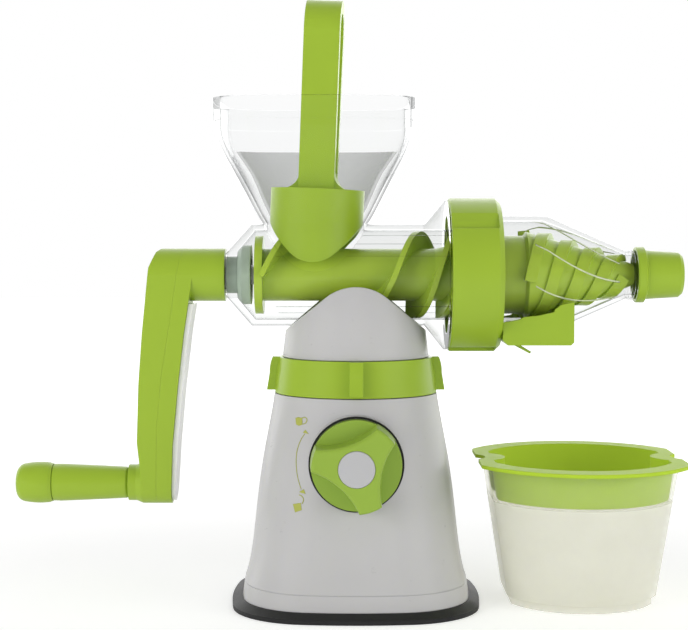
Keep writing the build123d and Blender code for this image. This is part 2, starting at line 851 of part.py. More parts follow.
# Chute: green trough that hugs the nose from below, with a drip lip
chute_rear = 73.0
chute_front = 108.4
chute_floor = 131.4
chute_half = 24.5
chute_wall = 2.2
chute_fit = 0.05
drain_length = 8.0
drain_width = 14.0
lip_rear = 78.6
lip_width = 16.0
with BuildPart() as juice_chute:
    with BuildSketch(Plane.XZ.offset(-chute_half)):
        Polygon(
            (chute_rear, chute_floor + 2.5),
            (chute_rear + 2.5, chute_floor),
            (chute_front - 1.5, chute_floor),
            (chute_front, chute_floor + 1.5),
            (chute_front, 153.0),
            (chute_front - 9.2, 151.0),
            (chute_front - 10.0, 148.0),
            (chute_front - 18.0, 146.2),
            (chute_front - 25.0, 145.6),
            (chute_front - 27.0, 144.4),
            (chute_rear, 142.8),
            align=None,
        )
    extrude(amount=2 * chute_half)
    with BuildSketch(across(chute_rear)):
        Circle(nose_radius + chute_fit)
    extrude(amount=94.0 - chute_rear, mode=Mode.SUBTRACT)
    with BuildSketch(barrel_plane):
        with BuildLine():
            Line((swell_x, 0), (swell_x, nose_radius + chute_fit))
            Spline(
                (swell_x, nose_radius + chute_fit),
                (bend_x, bend_radius + chute_fit),
                (taper_x, taper_radius + chute_fit),
                tangents=[(1, 0), (1, -0.44)],
            )
            Polyline((taper_x, taper_radius + chute_fit), (taper_x, 0), (swell_x, 0))
        make_face()
    revolve(axis=barrel_axis, mode=Mode.SUBTRACT)
    # trough inside, open to the nose
    with BuildSketch(Plane.XY.offset(chute_floor + 2.0)):
        with Locations(((chute_rear + chute_front) / 2, 0)):
            Rectangle(chute_front - chute_rear - 2 * chute_wall, 2 * (chute_half - chute_wall))
    extrude(amount=30.0, mode=Mode.SUBTRACT)
    # drain hole above the lip
    with BuildSketch(Plane.XY.offset(chute_floor)):
        with Locations((window_x + 0.5, 0)):
            Rectangle(drain_length, drain_width)
    extrude(amount=4.0, mode=Mode.SUBTRACT)
    with BuildSketch(Plane.XZ.offset(-lip_width / 2)):
        Polygon(
            (lip_rear + 0.8, chute_floor + 1.5),
            (lip_rear + 3.6, chute_floor - 0.2),
            (lip_rear + 10.4, chute_floor - 4.3),
            (lip_rear + 9.6, chute_floor - 5.2),
            (lip_rear + 1.8, chute_floor - 1.1),
            (lip_rear, chute_floor),
            align=None,
        )
    extrude(amount=lip_width)
juice_chute.part.label = "juice_chute"

# ---- lock nut ----

# Bayonet nut with three wide faces and three finger grooves between them
with BuildPart() as lock_nut:
    with BuildSketch(barrel_plane):
        Polygon(
            (nut_rear, nut_bore),
            (nut_rear, nut_radius - 0.4),
            (nut_rear + 0.6, nut_radius),
            (nut_front - 2.6, nut_radius),
            (nut_front, nut_radius - 2.4),
            (nut_front, nut_lip_bore),
            (nose_rear + 4.4, nut_lip_bore),
            (nose_rear + 4.4, nut_bore),
            align=None,
        )
    revolve(axis=barrel_axis)
    # each groove is deepest at its lower edge and runs out towards its upper edge
    for step_angle in nut_step_angles:
        steps = [radians(step_angle + turn) for turn in (0.0, nut_groove_span / 2, nut_groove_span)]
        low = nut_radius - nut_groove_depth
        middle = nut_radius - nut_groove_depth * 0.55
        over = nut_radius + 2.0
        with BuildSketch(across(nut_rear - 1.0)):
            Polygon(
                (-low * cos(steps[0]), low * sin(steps[0])),
                (-middle * cos(steps[1]), middle * sin(steps[1])),
                (-nut_radius * cos(steps[2]), nut_radius * sin(steps[2])),
                (-over * cos(steps[2]), over * sin(steps[2])),
                (-over * cos(steps[0]), over * sin(steps[0])),
                align=None,
            )
        extrude(amount=nut_front - nut_rear - 1.4, mode=Mode.SUBTRACT)
    for angle in lug_angles:
        with BuildSketch(across(nut_lug_rear)):
            sector(collar_radius + 1.0, nut_bore + 0.5, angle, lug_span)
        extrude(amount=nut_lug_thickness)
lock_nut.part.label = "lock_nut"

# ---- auger and its shaft ----

auger_disc_radius = 19.9
swell_start = 40.0
swell_end = 70.0
auger_tip = 141.5
tip_radius = 5.2
flight_thickness = 2.8
cone_flight_thickness = 6.0
flight_sink = 1.2
cone_start = 86.5
cone_outer = 24.2
cone_lean = 16.6
cone_lead = 38.7
cone_turns = 1.27
cone_flight_height = 2.2
# start on the axis, lead, turns and the angle from the front where each flight begins
barrel_flights = [
    (-47.4, 66.8, 1.0, 0.0),
    (19.4, 51.1, 0.98, 0.0),
    (27.0, 42.2, 1.08, -118.0),
    (42.0, 43.5, 0.68, -90.0),
]
cone_phases = [-7.4, 111.6, 234.4]


def flight(start, lead, turns, phase, inner, outer, thickness, cone=0.0):
    """One helical flight wound on the core, from its inner to its outer radius."""
    turn = radians(phase)
    path_plane = Plane(
        origin=(start, 0, barrel_z),
        x_dir=(0, -cos(turn), sin(turn)),
        z_dir=(1, 0, 0),
    )
    helix = path_plane * Helix(
        pitch=lead,
        height=lead * turns,
        radius=(inner + outer) / 2,
        cone_angle=-cone,
        lefthand=True,
        mode=Mode.PRIVATE,
    )
    begin = helix @ 0
    outward = Vector(0, -cos(turn), sin(turn))
    with BuildSketch(Plane(origin=begin, x_dir=outward, z_dir=helix % 0)) as section:
        Rectangle(outer - inner, thickness)
    sweep(section.sketch, path=helix, is_frenet=True)


with BuildPart() as auger:
    with BuildSketch(barrel_plane):
        Polygon(
            (auger_rear, 0),
            (auger_rear, auger_disc_radius),
            (auger_rear + 4.0, auger_disc_radius),
            (auger_rear + 4.0, auger_core),
            (swell_start, auger_core),
            (swell_end, auger_disc_radius),
            (cone_start - 1.5, auger_disc_radius),
            (cone_start, cone_outer - cone_flight_height),
            (auger_tip - 3.5, tip_radius + 1.6),
            (auger_tip, tip_radius),
            (auger_tip, 0),
            align=None,
        )
    revolve(axis=barrel_axis)
    for start, lead, turns, phase in barrel_flights:
        flight(start, lead, turns, phase, auger_core - flight_sink, auger_radius, flight_thickness)
    for phase in cone_phases:
        flight(
            cone_start,
            cone_lead,
            cone_turns,
            phase,
            cone_outer - cone_flight_height - flight_sink,
            cone_outer,
            cone_flight_thickness,
            cone_lean,
        )
    # bore for the drive shaft
    with BuildSketch(across(auger_rear)):
        Circle(shaft_radius + shaft_fit)
    extrude(amount=auger_socket_depth, mode=Mode.SUBTRACT)
auger.part.label = "auger"

# Steel shaft from the crank through the seal into the auger
drive_shaft_rear = -97.0
crank_screw_rear = -104.4
crank_screw_head = 5.0
crank_head_height = 3.0
crank_screw_radius = 2.5
crank_screw_length = 12.4
crank_slot_length = 5.6
crank_slot_width = 1.1
with BuildPart() as drive_shaft:
    with BuildSketch(across(drive_shaft_rear)):
        Circle(shaft_radius)
    extrude(amount=auger_rear + auger_socket_depth - 0.4 - drive_shaft_rear)
    with BuildSketch(across(drive_shaft_rear)):
        Circle(crank_screw_radius + shaft_fit)
    extrude(amount=crank_screw_length - 3.4, mode=Mode.SUBTRACT)
drive_shaft.part.label = "drive_shaft"

# ---- crank ----

arm_top_radius = 13.4
arm_foot_radius = 10.6
hub_end = -66.4
axle_radius = 3.5
axle_head_radius = 5.2
axle_head_height = 2.5
axle_rear = -152.0
axle_length = 51.4
arm_left = [
    (-108.6, grip_z - arm_foot_radius),
    (-109.8, 70.0),
    (-111.0, 81.0),
    (-110.0, 110.0),
    (-108.0, 136.0),
    (-104.5, 169.8),
    (-101.2, 177.6),
    (-98.0, 180.0),
]
arm_parting = [
    (-87.2, 180.0),
    (-90.0, 168.8),
    (-94.0, 141.8),
    (-98.3, 115.5),
    (-100.9, 89.5),
    (-101.6, grip_z - arm_foot_radius),
]
arm_right = [
    (-94.0, grip_z - arm_foot_radius),
    (-93.0, 79.0),
    (-90.0, 110.0),
    (-86.9, 136.0),
    (-84.3, 153.0),
    (-80.0, 180.0),
]


def arm_outline(inset=0.0):
    """The arm seen along its axle: two round ends joined by straight sides."""
    top = arm_top_radius - inset
    foot = arm_foot_radius - inset
    with Locations((0, barrel_z)):
        Circle(top)
    with Locations((0, grip_z)):
        Circle(foot)
    Polygon(
        (-top, barrel_z + 0.3),
        (top, barrel_z + 0.3),
        (foot, grip_z + 0.3),
        (-foot, grip_z + 0.3),
        align=None,
    )


# Hollow inside both halves of the arm
with BuildPart() as arm_cavity:
    with BuildSketch(Plane.XZ.offset(-20.0)):
        Polygon(
            (-107.4, 74.0),
            (-95.6, 74.0),
            (-92.4, 110.0),
            (-87.6, 148.0),
            (-104.4, 148.0),
            (-107.4, 110.0),
            align=None,
        )
    extrude(amount=40.0)
    with BuildSketch(Plane.YZ.offset(-112.0)):
        arm_outline(2.2)
    extrude(amount=30.0, mode=Mode.INTERSECT)

with BuildPart() as crank_outer:
    with BuildSketch(Plane.XZ.offset(-20.0)):
        Polygon(*arm_left, *arm_parting, align=None)
    extrude(amount=40.0)
    with BuildSketch(Plane.YZ.offset(-112.0)):
        arm_outline()
    extrude(amount=30.0, mode=Mode.INTERSECT)
    add(arm_cavity.part, mode=Mode.SUBTRACT)
    # collar that the grip turns against
    with BuildSketch(grip_plane):
        Polygon(
            (-116.2, 0),
            (-116.2, 9.2),
            (-112.2, 9.2),
            (-109.2, 10.5),
            (-106.0, 10.5),
            (-106.0, 0),
            align=None,
        )
    revolve(axis=grip_axis)
    with BuildSketch(across_grip(-117.0)):
        Circle(axle_radius + shaft_fit)
    extrude(amount=20.0, mode=Mode.SUBTRACT)
    # screw recess and the shaft's seat
    with BuildSketch(across(-110.0)):
        Circle(crank_screw_head + 0.4)
    extrude(amount=8.6, mode=Mode.SUBTRACT)
    with BuildSketch(across(-102.0)):
        Circle(crank_screw_radius + 0.1)
    extrude(amount=6.0, mode=Mode.SUBTRACT)
    with BuildSketch(across(drive_shaft_rear)):
        Circle(shaft_radius + shaft_fit)
    extrude(amount=20.0, mode=Mode.SUBTRACT)
crank_outer.part.label = "crank_outer"

with BuildPart() as crank_inner:
    with BuildSketch(Plane.XZ.offset(-20.0)):
        Polygon(*reversed(arm_parting), *reversed(arm_right), align=None)
    extrude(amount=40.0)
    with BuildSketch(Plane.YZ.offset(-112.0)):
        arm_outline()
    extrude(amount=40.0, mode=Mode.INTERSECT)
    add(arm_cavity.part, mode=Mode.SUBTRACT)
    with BuildSketch(across(-84.0)):
        Circle(arm_top_radius)
    extrude(amount=hub_end + 84.0)
    with BuildSketch(across(drive_shaft_rear)):
        Circle(shaft_radius + shaft_fit)
    extrude(amount=40.0, mode=Mode.SUBTRACT)
    with BuildSketch(across_grip(-104.0)):
        Circle(axle_radius + shaft_fit)
    extrude(amount=6.0, mode=Mode.SUBTRACT)
crank_inner.part.label = "crank_inner"

# White strip along the inner face of the arm
with BuildPart() as crank_cover:
    with BuildSketch(Plane.XZ.offset(-20.0)):
        Polygon(
            (-93.9, 49.6),
            (-92.95, 79.0),
            (-89.95, 110.0),
            (-86.85, 136.0),
            (-84.45, 151.5),
            (-82.0, 151.5),
            (-84.4, 136.0),
            (-87.4, 110.0),
            (-90.2, 79.0),
            (-92.0, 49.6),
            align=None,
        )
    extrude(amount=40.0)
    with BuildSketch(Plane.YZ.offset(-112.0)):
        arm_outline(1.6)
    extrude(amount=40.0, mode=Mode.INTERSECT)
crank_cover.part.label = "crank_cover"

# Screw that holds the arm on the shaft
with BuildPart() as crank_screw:
    with BuildSketch(across(crank_screw_rear)):
        Circle(crank_screw_head)
    extrude(amount=crank_head_height)
    with BuildSketch(across(crank_screw_rear + crank_head_height)):
        Circle(crank_screw_radius)
    extrude(amount=crank_screw_length)
    with BuildSketch(across(crank_screw_rear)):
        Rectangle(crank_slot_length, crank_slot_width)
        Rectangle(crank_slot_width, crank_slot_length)
    extrude(amount=crank_head_height / 2, mode=Mode.SUBTRACT)
crank_screw.part.label = "crank_screw"

# Pin of the grip, its head inside the end of the grip
with BuildPart() as grip_axle:
    with BuildSketch(across_grip(axle_rear)):
        Circle(axle_head_radius)
    extrude(amount=axle_head_height)
    with BuildSketch(across_grip(axle_rear + axle_head_height)):
        Circle(axle_radius)
    extrude(amount=axle_length)
grip_axle.part.label = "grip_axle"

grip_end = -155.2
grip_root = -116.5
flat_first_angle = 32.0
flat_middle = -135.0
flat_reach = 8.0
flat_length = 32.0
flat_width = 9.0
flat_corner = 3.0
with BuildPart() as grip:
    with BuildSketch(grip_plane):
        with BuildLine():
            Polyline((grip_end, 5.6), (grip_end, 8.9), (grip_end + 0.5, 9.4), (-151.0, 9.5))
            ThreePointArc((-151.0, 9.5), (-134.0, 8.8), (-117.4, 8.0))
            Polyline(
                (-117.4, 8.0),
                (grip_root, 7.4),
                (grip_root, 3.6),
                (-149.2, 3.6),
                (-149.2, 5.6),
                (grip_end, 5.6),
            )
        make_face()
    revolve(axis=grip_axis)
    for flat in range(4):
        turn = radians(flat_first_angle + 90.0 * flat)
        flat_plane = Plane(
            origin=(flat_middle, flat_reach * cos(turn), grip_z + flat_reach * sin(turn)),
            x_dir=(1, 0, 0),
            z_dir=(0, cos(turn), sin(turn)),
        )
        with BuildSketch(flat_plane):
            RectangleRounded(flat_length, flat_width, flat_corner)
        extrude(amount=6.0, mode=Mode.SUBTRACT)
grip.part.label = "grip"

# Rounded cap pressed into the end of the grip
with BuildPart() as grip_cap:
    with BuildSketch(grip_plane):
        with BuildLine():
            Polyline((-152.6, 0), (-152.6, 5.5), (grip_end, 5.5), (grip_end, 9.6), (-157.0, 10.2))
            ThreePointArc((-157.0, 10.2), (-163.5, 10.45), (-169.8, 9.7))
            ThreePointArc((-169.8, 9.7), (-172.7, 7.9), (-173.8, 4.6))
            Polyline((-173.8, 4.6), (-173.8, 0), (-152.6, 0))
        make_face()
    revolve(axis=grip_axis)
grip_cap.part.label = "grip_cap"

# ---- outlet cap and its washer ----

cap_bore = 9.8
cap_outlet = 6.2
washer_rear = nose_tip + 0.2
washer_depth = 1.5
cap_seat = washer_rear + washer_depth + 0.3
cap_flange_radius = 14.2
with BuildPart() as outlet_washer:
    with BuildSketch(across(washer_rear)):
        Circle(nose_spout_radius)
        Circle(cap_outlet + 0.5, mode=Mode.SUBTRACT)
    extrude(amount=washer_depth)
outlet_washer.part.label = "outlet_washer"

with BuildPart() as outlet_cap:
    with BuildSketch(barrel_plane):
        Polygon(
            (cap_rear, nose_neck_radius + 0.4),
            (cap_rear, cap_flange_radius - 0.4),
            (cap_rear + 0.6, cap_flange_radius),
            (146.6, cap_flange_radius),
            (147.6, 12.5),
            (cap_front - 1.7, 11.4),
            (cap_front, 10.0),
            (cap_front, cap_outlet),
            (cap_seat, cap_outlet),
            (cap_seat, cap_bore),
            (spout_rear + 0.3, cap_bore),
            (spout_rear + 0.3, nose_neck_radius + 0.4),
            align=None,
        )
    revolve(axis=barrel_axis)
outlet_cap.part.label = "outlet_cap"

# ---- pusher ----

pusher_lean = radians(2.4)
pusher_yaw = radians(4.0)
pusher_pivot = 180.0
pusher_radius = 23.8
pusher_top = 29.5
pusher_up = (sin(pusher_lean), 0, cos(pusher_lean))
pusher_side = (
    cos(pusher_yaw) * cos(pusher_lean),
    -sin(pusher_yaw),
    -cos(pusher_yaw) * sin(pusher_lean),
)
pusher_plane = Plane(origin=(hopper_x, 0, pusher_pivot), x_dir=pusher_side, z_dir=pusher_up)
pusher_front = Plane(
    origin=(hopper_x, 0, pusher_pivot),
    x_dir=pusher_side,
    z_dir=pusher_plane.y_dir * -1,
)
pusher_sideways = Plane(
    origin=(hopper_x, 0, pusher_pivot),
    x_dir=pusher_plane.y_dir,
    z_dir=pusher_side,
)

with BuildPart() as pusher_head:
    with BuildSketch(pusher_plane.offset(-12.0)):
        Circle(pusher_radius)
    extrude(amount=pusher_top + 12.0)
    with BuildSketch(pusher_front.offset(-40.0)):
        with BuildLine():
            ThreePointArc((-12.1, -1.9), (0, -7.2), (12.1, -1.9))
            ThreePointArc((12.1, -1.9), (18.4, 4.7), (pusher_radius + 0.4, 13.6))
            ThreePointArc((-12.1, -1.9), (-18.4, 4.7), (-pusher_radius - 0.4, 13.6))
            Polyline(
                (-pusher_radius - 0.4, 13.6),
                (-pusher_radius - 0.4, pusher_top + 5.0),
                (pusher_radius + 0.4, pusher_top + 5.0),
                (pusher_radius + 0.4, 13.6),
            )
        make_face()
    extrude(amount=80.0, mode=Mode.INTERSECT)
    # saddle that clears the auger
    with BuildSketch(across(hopper_x - 40.0)):
        Circle(auger_radius + 0.5)
    extrude(amount=80.0, mode=Mode.SUBTRACT)
pusher_head.part.label = "pusher_head"

# Handle: a closed strap loop standing on the head
strap = 6.5
strap_half_width = 9.0
loop_top = 125.0
loop_radius = 16.0
with BuildPart() as pusher_handle:
    with BuildSketch(pusher_sideways.offset(-strap_half_width)):
        with BuildLine():
            Line((-12.5, pusher_top), (-loop_radius, loop_top - loop_radius))
            ThreePointArc(
                (-loop_radius, loop_top - loop_radius),
                (0, loop_top),
                (loop_radius, loop_top - loop_radius),
            )
            Line((loop_radius, loop_top - loop_radius), (12.5, pusher_top))
            Line((12.5, pusher_top), (-12.5, pusher_top))
        make_face()
        with BuildLine():
            Line((-6.4, pusher_top + strap), (-loop_radius + strap, loop_top - loop_radius))
            ThreePointArc(
                (-loop_radius + strap, loop_top - loop_radius),
                (0, loop_top - strap),
                (loop_radius - strap, loop_top - loop_radius),
            )
            Line((loop_radius - strap, loop_top - loop_radius), (6.4, pusher_top + strap))
            Line((6.4, pusher_top + strap), (-6.4, pusher_top + strap))
        make_face(mode=Mode.SUBTRACT)
    extrude(amount=2 * strap_half_width)
    # flared root
    with BuildSketch(pusher_front.offset(-11.5)):
        with BuildLine():
            Line((-15.5, pusher_top), (15.5, pusher_top))
            ThreePointArc((15.5, pusher_top), (10.9, pusher_top + 2.6), (8.6, pusher_top + 8.5))
            Line((8.6, pusher_top + 8.5), (-8.6, pusher_top + 8.5))
            ThreePointArc((-8.6, pusher_top + 8.5), (-10.9, pusher_top + 2.6), (-15.5, pusher_top))
        make_face()
    extrude(amount=23.0)
pusher_handle.part.label = "pusher_handle"

# ---- cup and rim insert ----

cup_plane = Plane(origin=(cup_x, 0, 0))


def cup_outline(flat_half, half_x, half_y):
    """An ellipse with both ends cut flat."""
    Ellipse(half_x, half_y)
    Rectangle(2 * flat_half, 2 * half_y + 2.0, mode=Mode.INTERSECT)


cup_floor = 1.8
cup_foot_height = 4.6
# flat end, half length and half width of the cup's outline
cup_foot = (35.4, 38.6, 39.6)
cup_step = (37.6, 41.0, 42.0)
cup_rim = (47.6, 51.9, 55.0)
with BuildPart() as cup:
    with BuildSketch(cup_plane):
        cup_outline(*cup_foot)
    extrude(amount=cup_foot_height)
    with BuildSketch(cup_plane.offset(cup_foot_height - 0.2)):
        cup_outline(*cup_step)
    with BuildSketch(cup_plane.offset(cup_height)):
        cup_outline(*cup_rim)
    loft(ruled=True)
    with BuildSketch(cup_plane.offset(cup_floor)):
        cup_outline(*[size - cup_wall for size in cup_foot])
    extrude(amount=cup_foot_height, mode=Mode.SUBTRACT)
    with BuildSketch(cup_plane.offset(cup_floor + cup_foot_height - 0.2)):
        cup_outline(*[size - cup_wall + 0.3 for size in cup_step])
    with BuildSketch(cup_plane.offset(cup_height)):
        cup_outline(*[size - cup_wall for size in cup_rim])
    loft(ruled=True, mode=Mode.SUBTRACT)
cup.part.label = "cup"

pinch_x = 53.0
pinch_radius = 14.2
insert_wall = 1.4
flange_half_x = 59.0
flange_half_y = 64.5
flange_cut = 51.7
notch_x = 59.5
notch_radius = 12.0
insert_bottom = 53.6
flange_bottom = 70.8
flange_top = 72.6


def insert_outline(flat_half, half_x, half_y, pinch):
    """The cup's outline pinched inwards by a round recess at each end."""
    cup_outline(flat_half, half_x, half_y)
    with Locations((-pinch_x, 0), (pinch_x, 0)):
        Circle(pinch, mode=Mode.SUBTRACT)


def inner_outline(flat_half, half_x, half_y):
    """The insert's outline, one wall further in."""
    insert_outline(
        flat_half - insert_wall,
        half_x - insert_wall,
        half_y - insert_wall,
        pinch_radius + insert_wall,
    )


with BuildPart() as cup_insert:
    with BuildSketch(cup_plane.offset(insert_bottom)):
        insert_outline(42.6, 46.9, 49.9, pinch_radius)
    with BuildSketch(cup_plane.offset(flange_bottom)):
        insert_outline(45.3, 49.6, 52.7, pinch_radius)
    loft(ruled=True)
    with BuildSketch(cup_plane.offset(flange_bottom)):
        Ellipse(flange_half_x, flange_half_y)
        Rectangle(2 * flange_cut, 2 * flange_half_y + 1.0, mode=Mode.INTERSECT)
        with Locations((-notch_x, 0), (notch_x, 0)):
            Circle(notch_radius, mode=Mode.SUBTRACT)
    extrude(amount=flange_top - flange_bottom)
    with BuildSketch(cup_plane.offset(insert_bottom)):
        inner_outline(42.6, 46.9, 49.9)
    with BuildSketch(cup_plane.offset(flange_top)):
        inner_outline(45.6, 49.9, 53.0)
    loft(ruled=True, mode=Mode.SUBTRACT)
cup_insert.part.label = "cup_insert"

# ---- write every piece ----

pieces = [
    suction_pad,
    base_ring,
    base_shell,
    base_screws,
    shaft_bracket,
    knob_bezel,
    knob,
    knob_cap,
    knob_shaft,
    lift_cam,
    lift_rod,
    rod_nut,
    lock_ring,
    head_cradle,
    barrel,
    hopper,
    rear_seal,
    flange_gasket,
    nose_cone,
    juice_screen,
    juice_chute,
    lock_nut,
    auger,
    drive_shaft,
    crank_outer,
    crank_inner,
    crank_cover,
    crank_screw,
    grip_axle,
    grip,
    grip_cap,
    outlet_washer,
    outlet_cap,
    pusher_head,
    pusher_handle,
    cup,
    cup_insert,
]
for piece in pieces:
    export_step(piece.part, f"parts/{piece.part.label}.step")
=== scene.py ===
from math import cos, hypot, radians, sin

import bmesh
import bpy
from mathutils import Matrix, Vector


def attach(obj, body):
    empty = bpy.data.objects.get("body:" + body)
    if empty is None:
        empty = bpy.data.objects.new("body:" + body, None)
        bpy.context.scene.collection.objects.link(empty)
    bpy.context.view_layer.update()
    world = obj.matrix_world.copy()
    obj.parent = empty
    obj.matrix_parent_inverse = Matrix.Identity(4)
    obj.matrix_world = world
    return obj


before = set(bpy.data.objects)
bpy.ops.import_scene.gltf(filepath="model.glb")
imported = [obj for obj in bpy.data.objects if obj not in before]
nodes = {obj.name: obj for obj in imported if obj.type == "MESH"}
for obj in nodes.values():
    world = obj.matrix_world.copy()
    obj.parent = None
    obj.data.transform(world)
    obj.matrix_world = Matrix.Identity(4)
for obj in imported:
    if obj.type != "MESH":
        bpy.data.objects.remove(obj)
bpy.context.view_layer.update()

mm = 0.001
barrelZ = 0.166
print("frame loaded,", len(nodes), "nodes")


class Socket:
    # wraps an output, so that sums and products of values add their Math nodes
    def __init__(self, finish, link):
        self.finish = finish
        self.link = link

    def maths(self, operation, first, second):
        return self.finish.add("ShaderNodeMath", {"operation": operation}, {0: first, 1: second})

    def __add__(self, other):
        return self.maths("ADD", self, other)

    def __radd__(self, other):
        return self.maths("ADD", other, self)

    def __sub__(self, other):
        return self.maths("SUBTRACT", self, other)

    def __rsub__(self, other):
        return self.maths("SUBTRACT", other, self)

    def __mul__(self, other):
        return self.maths("MULTIPLY", self, other)

    def __rmul__(self, other):
        return self.maths("MULTIPLY", other, self)

    def __gt__(self, other):
        return self.maths("GREATER_THAN", self, other)

    def __lt__(self, other):
        return self.maths("LESS_THAN", self, other)


class Finish:
    # the nodes of one material, or of the world, and the few ways that they are added
    def __init__(self, owner):
        owner.use_nodes = True
        self.owner = owner
        self.tree = owner.node_tree
        self.tree.nodes.clear()
        self.place = self.add("ShaderNodeTexCoord", output="Object")

    def add(self, kind, settings=None, inputs=None, output=0):
        node = self.tree.nodes.new(kind)
        for key, value in (settings or {}).items():
            setattr(node, key, value)
        for key, value in (inputs or {}).items():
            if isinstance(value, Socket):
                self.tree.links.new(value.link, node.inputs[key])
            else:
                node.inputs[key].default_value = value
        return Socket(self, node.outputs[output])

    def blend(self, factor, first, second):
        # mixes two colours
        return self.add(
            "ShaderNodeMix", {"data_type": "RGBA"}, {0: factor, 6: first, 7: second}, output=2
        )

    def layered(self, factor, first, second):
        # mixes two shaders
        return self.add("ShaderNodeMixShader", None, {0: factor, 1: first, 2: second})

    def ramped(self, value, start, end, low, high, kind="SMOOTHSTEP"):
        # runs from low to high while the value goes from start to end
        return self.add("ShaderNodeMapRange", {"interpolation_type": kind}, {
            "Value": value,
            "From Min": start,
            "From Max": end,
            "To Min": low,
            "To Max": high,
        })

    def part(self, vector, letter):
        return self.add("ShaderNodeSeparateXYZ", None, {0: vector}, letter)

    def stretched(self, scale):
        return self.add(
            "ShaderNodeVectorMath", {"operation": "MULTIPLY"}, {0: self.place, 1: scale}
        )

    def cloud(self, scale, detail, roughness=0.55, place=None):
        # soft noise from 0 to 1; scale counts per metre
        return self.add("ShaderNodeTexNoise", None, {
            "Vector": place or self.place,
            "Scale": scale,
            "Detail": detail,
            "Roughness": roughness,
        })

    def bump(self, height, strength, depth, soft):
        # relief over edges that look rounded by so many mm
        edges = self.add("ShaderNodeBevel", {"samples": 6}, {"Radius": soft * mm})
        return self.add("ShaderNodeBump", None, {
            "Height": height,
            "Strength": strength,
            "Distance": depth * mm,
            "Normal": edges,
        })

    def turned(self, normal):
        # 0 where the surface faces the eye, 1 where it turns away
        return self.add("ShaderNodeLayerWeight", None, {"Blend": 0.5, "Normal": normal}, "Facing")

    def seenFor(self, *rays):
        # 1 for light paths of the named kinds
        masks = [self.add("ShaderNodeLightPath", output=ray) for ray in rays]
        if len(masks) == 1:
            return masks[0]
        return self.add("ShaderNodeMath", {"operation": "MAXIMUM"}, {0: masks[0], 1: masks[1]})

    def ended(self, shader, kind="ShaderNodeOutputMaterial"):
        output = self.tree.nodes.new(kind)
        self.tree.links.new(shader.link, output.inputs["Surface"])
        return self.owner

    def surface(self, inputs):
        return self.ended(self.add("ShaderNodeBsdfPrincipled", None, inputs))


def newFinish(name):
    return Finish(bpy.data.materials.new(name))


def linear(red, green, blue):
    # a colour read from 0 to 255, as the shader wants it
    values = []
    for level in (red, green, blue):
        share = level / 255
        values.append(share / 12.92 if share <= 0.04045 else ((share + 0.055) / 1.055) ** 2.4)
    return (*values, 1.0)


def varied(colour, amount):
    return tuple(min(1.0, level * amount) for level in colour[:3]) + (1.0,)


mouldedFacts = {
    "roughness": 0.34,
    "grain": 0.1,
    "glow": 0.06,  # share of the light that enters the plastic
    "glowRadius": (0.004, 0.004, 0.0015),
    "glowScale": 0.5,
    "shine": 0.5,
    "refraction": 1.49,
    "soft": 0.5,
    "depth": 0.4,
    "flow": {"scale": 26, "detail": 3, "tones": (0.94, 1.05), "height": 0.9},
    "fine": {"scale": 2600, "detail": 2, "height": 0.35},
    "marks": {"scale": 160, "detail": 5, "limit": 0.68, "share": 0.08, "tone": 1.25, "dulling": 0.14},
    "hairs": {"scale": 300, "detail": 2, "along": (1.0, 1.0, 14.0), "height": 0.15, "dulling": 0.05},
}


def mouldedPlastic(name, colour, **changes):
    # opaque moulded plastic: flow marks, fine grain, handling marks and hairlines
    facts = dict(mouldedFacts, **changes)
    flowFacts, fineFacts, markFacts, hairFacts = (facts[key] for key in ("flow", "fine", "marks", "hairs"))
    finish = newFinish(name)
    flow = finish.cloud(flowFacts["scale"], flowFacts["detail"])
    fine = finish.cloud(fineFacts["scale"], fineFacts["detail"])
    marks = finish.cloud(markFacts["scale"], markFacts["detail"], 0.7)
    along = finish.stretched(hairFacts["along"])
    hairs = finish.cloud(hairFacts["scale"], hairFacts["detail"], 0.5, along)
    tone = finish.blend(flow, *(varied(colour, amount) for amount in flowFacts["tones"]))
    worn = (marks > markFacts["limit"]) * markFacts["share"]
    tone = finish.blend(worn, tone, varied(colour, markFacts["tone"]))
    rough = facts["roughness"] + (marks - 0.5) * markFacts["dulling"] + (hairs - 0.5) * hairFacts["dulling"]
    height = (fine * fineFacts["height"] + flow * flowFacts["height"]
              + (hairs - 0.5) * hairFacts["height"])
    return finish.surface({
        "Base Color": tone,
        "Roughness": rough,
        "Normal": finish.bump(height, facts["grain"], facts["depth"], facts["soft"]),
        "IOR": facts["refraction"],
        "Specular IOR Level": facts["shine"],
        "Subsurface Weight": facts["glow"],
        "Subsurface Radius": facts["glowRadius"],
        "Subsurface Scale": facts["glowScale"],
    })


clearFacts = {
    "veil": 0.012,
    "edge": 2.2,
    "through": (0.99, 0.992, 0.992, 1.0),
    "gloss": (0.7, 0.72, 0.72, 1.0),
    "rim": (0.05, 0.055, 0.055, 1.0),
    "roughness": 0.07,
    "soft": 0.6,
    "grain": 0.06,
    "depth": 0.6,
    "flow": {"scale": 42, "detail": 2},
    "scratches": {"scale": 420, "detail": 4, "along": (1.0, 1.0, 6.0), "height": 0.05,
                  "limit": 0.66, "share": 0.01, "dulling": 0.08},
}
# painted shade: the funnel's far slope gets a grey diffuse mixed in, its band and its sides stay clear
hopperFacts = dict(clearFacts, slope={
    "top": 0.2306,
    "foot": 0.194,
    "lean": 0.22,
    "share": 0.42,
    "colour": (0.5, 0.5, 0.52, 1.0),
})


